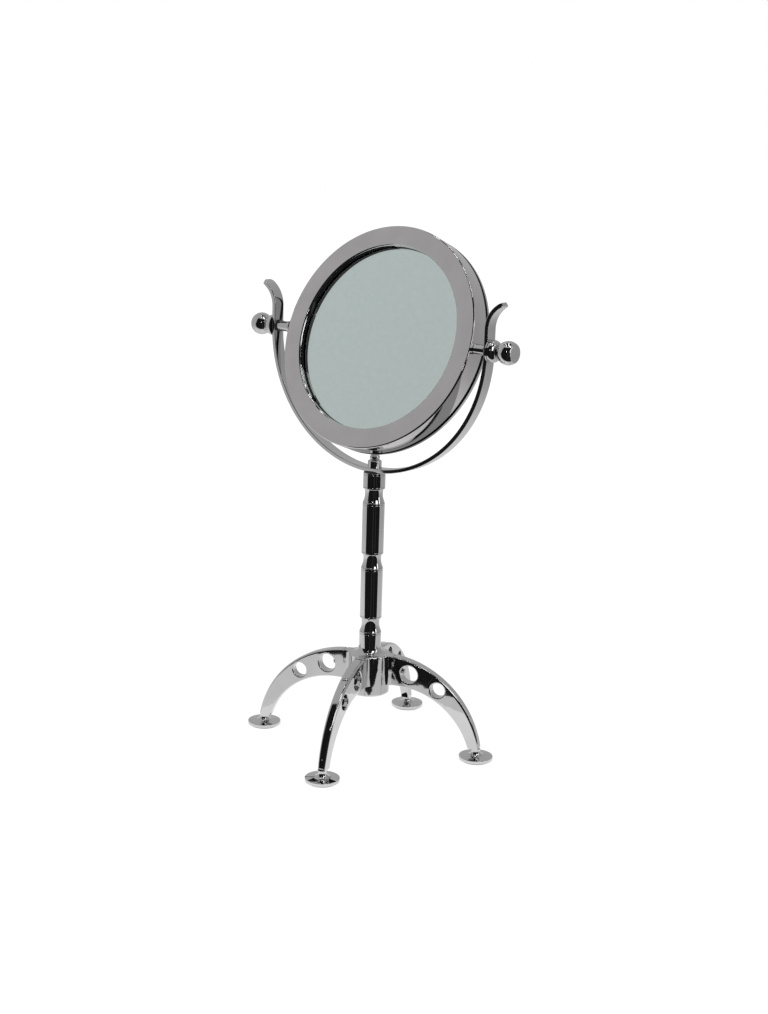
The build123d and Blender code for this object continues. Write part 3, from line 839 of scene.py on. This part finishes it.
tent_radius = 1.0
roof_height = 1.6
eaves_height = 1.3
cloth_height = 0.0006
tent_profile = (
    (0.16, cloth_height),
    (tent_radius, cloth_height),
    (tent_radius, eaves_height),
    (0.72, roof_height),
    (0.001, roof_height),
)
seen_in_gloss_only(studio_surface("tent", tent_glow.material, tent_profile, 0, 360, 96))

# The tent's dark opening faces the camera, with a dark floor before it and a dark patch overhead.
dark_glow, dark_emission = glowing("dark_opening", 1.0)
dark_emission.inputs["Color"].default_value = (0.012, 0.012, 0.013, 1)
dark = dark_glow.material
opening_end = 105
low_start = -36.5
high_start = -31
low_sweep = opening_end - low_start
high_sweep = opening_end - high_start
curtain_radius = 0.98
curtain_foot = 0.001
step_height = 0.55
low_wall = ((curtain_radius, curtain_foot), (curtain_radius, step_height))
high_wall = ((curtain_radius, step_height), (curtain_radius, 1.26), (0.74, 1.52))
overhead = ((0.02, 1.59), (0.46, 1.59))
before_opening = ((0.05, curtain_foot), (curtain_radius, curtain_foot))
seen_in_gloss_only(studio_surface("low_opening", dark, low_wall, low_start, low_sweep, 48))
seen_in_gloss_only(studio_surface("high_opening", dark, high_wall, high_start, high_sweep, 48))
seen_in_gloss_only(studio_surface("dark_roof", dark, overhead, 0, 360, 64))
dark_floor = studio_surface("dark_floor", dark, before_opening, low_start, low_sweep, 48)
# White cloth reaches this far in front of the column.
cloth_reach = 0.195
towards_camera = around(camera_azimuth, 1, 0)
trimmed = bmesh.new()
trimmed.from_mesh(dark_floor.data)
bmesh.ops.bisect_plane(
    trimmed,
    geom=[*trimmed.verts, *trimmed.edges, *trimmed.faces],
    plane_co=towards_camera * cloth_reach,
    plane_no=towards_camera,
    clear_inner=True,
)
trimmed.to_mesh(dark_floor.data)
trimmed.free()
seen_in_gloss_only(dark_floor)

# Dim stands in the opening, which show as thin grey lines in the black
stand_glow = glowing("dim_stand", 0.075)[0]
stand_profile = ((0.3, 0.0015), (0.955, 0.0015), (0.955, 0.9))
for name, azimuth, sweep in (("stand_left", 35.5, 3.0), ("stand_right", 61, 2.2)):
    seen_in_gloss_only(studio_surface(name, stand_glow.material, stand_profile, azimuth, sweep, 4))

# Lamps that the balls and rounded edges catch
right_ball = Vector((0.162, 0, 0.4475))
lamp_height = 1.57
panel_glow = glowing("panel_light", 2.6)[0]
lamp_glow = glowing("small_light", 7.0)[0]
card("side_panel", panel_glow.material, seen_at(69, 25, 0.78, right_ball), right_ball, 0.34, 0.46)
card("front_lamp", lamp_glow.material, seen_at(12, 19, 0.82, right_ball), right_ball, 0.07, 0.05)
# Azimuth, distance from the axis, width and depth
for name, azimuth, radius, width, depth in (
    ("roof_lamp_right", 60, 0.30, 0.16, 0.08),
    ("roof_lamp_front", -10, 0.34, 0.10, 0.10),
    ("roof_lamp_left", -80, 0.30, 0.12, 0.08),
    ("roof_lamp_rear", 180, 0.26, 0.14, 0.08),
    ("roof_lamp_middle", 120, 0.10, 0.08, 0.08),
):
    card(name, lamp_glow.material, around(azimuth, radius, lamp_height), right_ball, width, depth)
edge_profile = ((0.97, 0.25), (0.97, 1.2))
seen_in_gloss_only(studio_surface("edge_light", panel_glow.material, edge_profile, 101, 8, 4))
strip_profile = ((0.24, 1.5), (0.86, 1.5))
seen_in_gloss_only(studio_surface("roof_strip", lamp_glow.material, strip_profile, 68, 7, 8))


def seen_directly(tree):
    """1 for camera, glossy and transmission rays, 0 for the rays that carry light to matt surfaces."""
    path = tree.nodes.new("ShaderNodeLightPath")
    total = path.outputs["Is Camera Ray"]
    for ray in ("Is Glossy Ray", "Is Transmission Ray"):
        either = tree.nodes.new("ShaderNodeMath")
        either.operation = "MAXIMUM"
        tree.links.new(total, either.inputs[0])
        tree.links.new(path.outputs[ray], either.inputs[1])
        total = either.outputs["Value"]
    return total


def pale_floor():
    """White floor, which keeps a trace of the object's shadow."""
    floor = Finish("pale_floor")
    tree = floor.tree
    tree.nodes.remove(floor.shader)
    seen_glow = floor.node("ShaderNodeEmission")
    # Away from the lamps its own glow makes up for their light, so the white is even.
    from_middle = floor.node("ShaderNodeVectorMath")
    from_middle.operation = "LENGTH"
    floor.link(floor.coordinates, from_middle.inputs[0])
    floor.link(floor.spread(from_middle.outputs["Value"], 0.90, 1.0, 0.5, 1.5), seen_glow.inputs["Strength"])
    seen_cloth = floor.node("ShaderNodeBsdfDiffuse")
    floor.link(
        floor.shades(floor.noise(6), (0.3, (0.135, 0.135, 0.135)), (0.7, (0.15, 0.15, 0.15))),
        seen_cloth.inputs["Color"],
    )
    seen = floor.node("ShaderNodeAddShader")
    floor.link(seen_glow.outputs["Emission"], seen.inputs[0])
    floor.link(seen_cloth.outputs["BSDF"], seen.inputs[1])
    lit = floor.node("ShaderNodeBsdfDiffuse")
    lit.inputs["Color"].default_value = (0.8, 0.8, 0.8, 1)
    either = floor.node("ShaderNodeMixShader")
    floor.link(seen_directly(tree), either.inputs["Fac"])
    floor.link(lit.outputs["BSDF"], either.inputs[1])
    floor.link(seen.outputs["Shader"], either.inputs[2])
    floor.link(either.outputs["Shader"], tree.nodes["Material Output"].inputs["Surface"])
    return floor.material


floor_profile = ((0.001, 0.0), (2.0, 0.0), (14.0, 0.0))
lamp_aim = Vector((0, 0, 0.25))
studio_surface("floor", pale_floor(), floor_profile, 0, 360, 64)

world = bpy.data.worlds.new("studio_world")
bpy.context.scene.world = world
world.use_nodes = True
backdrop = world.node_tree.nodes["Background"]
tone = world.node_tree.nodes.new("ShaderNodeMix")
tone.data_type = "RGBA"
# A colour mix has its share, its two colours and its result at these places.
mix_share, dim_side, seen_side, mixed = tone.inputs[0], tone.inputs[6], tone.inputs[7], tone.outputs[2]
dim_side.default_value = (0.5, 0.5, 0.5, 1)
seen_side.default_value = (1.0, 1.0, 1.0, 1)
world.node_tree.links.new(seen_directly(world.node_tree), mix_share)
world.node_tree.links.new(mixed, backdrop.inputs["Color"])


def soft_lamp(name, azimuth, radius, height, size, watts):
    light = bpy.data.lights.new(name, "AREA")
    light.shape = "DISK"
    light.size = size
    light.energy = watts
    lamp = bpy.data.objects.new(name, light)
    bpy.context.scene.collection.objects.link(lamp)
    place = around(azimuth, radius, height)
    aim = lamp_aim - place
    lamp.matrix_world = Matrix.Translation(place) @ aim.to_track_quat("-Z", "Y").to_matrix().to_4x4()
    lamp.visible_glossy = False


soft_lamp("overhead_lamp", 20, 0.3, 2.2, 1.6, 26)
soft_lamp("left_lamp", -70, 1.9, 1.5, 1.2, 14)
soft_lamp("right_lamp", 110, 1.9, 1.3, 1.2, 12)

# Camera, as fitted to the photograph
photo_width = 768
photo_height = 1014
focal_pixels = 1597.67
sensor = 36.0
camera_turn = radians(camera_azimuth)
camera_elevation = radians(12.97)
camera_roll = radians(1.64)
camera_distance = 1.70827
target_height = 0.26611
target_side = 0.01108

back = Vector((
    sin(camera_turn) * cos(camera_elevation),
    -cos(camera_turn) * cos(camera_elevation),
    sin(camera_elevation),
))
level = Vector((cos(camera_turn), sin(camera_turn), 0))
upright = back.cross(level)
image_right = level * cos(camera_roll) + upright * sin(camera_roll)
image_up = upright * cos(camera_roll) - level * sin(camera_roll)
target = Vector((0, 0, target_height)) + level * target_side
lens = bpy.data.cameras.new("camera")
lens.sensor_width = sensor
lens.lens = focal_pixels * sensor / max(photo_width, photo_height)
camera = bpy.data.objects.new("camera", lens)
bpy.context.scene.collection.objects.link(camera)
camera.matrix_world = Matrix.Translation(target + back * camera_distance) @ Matrix(
    (image_right, image_up, back)
).transposed().to_4x4()
bpy.context.scene.camera = camera
bpy.context.scene.view_settings.view_transform = "Standard"
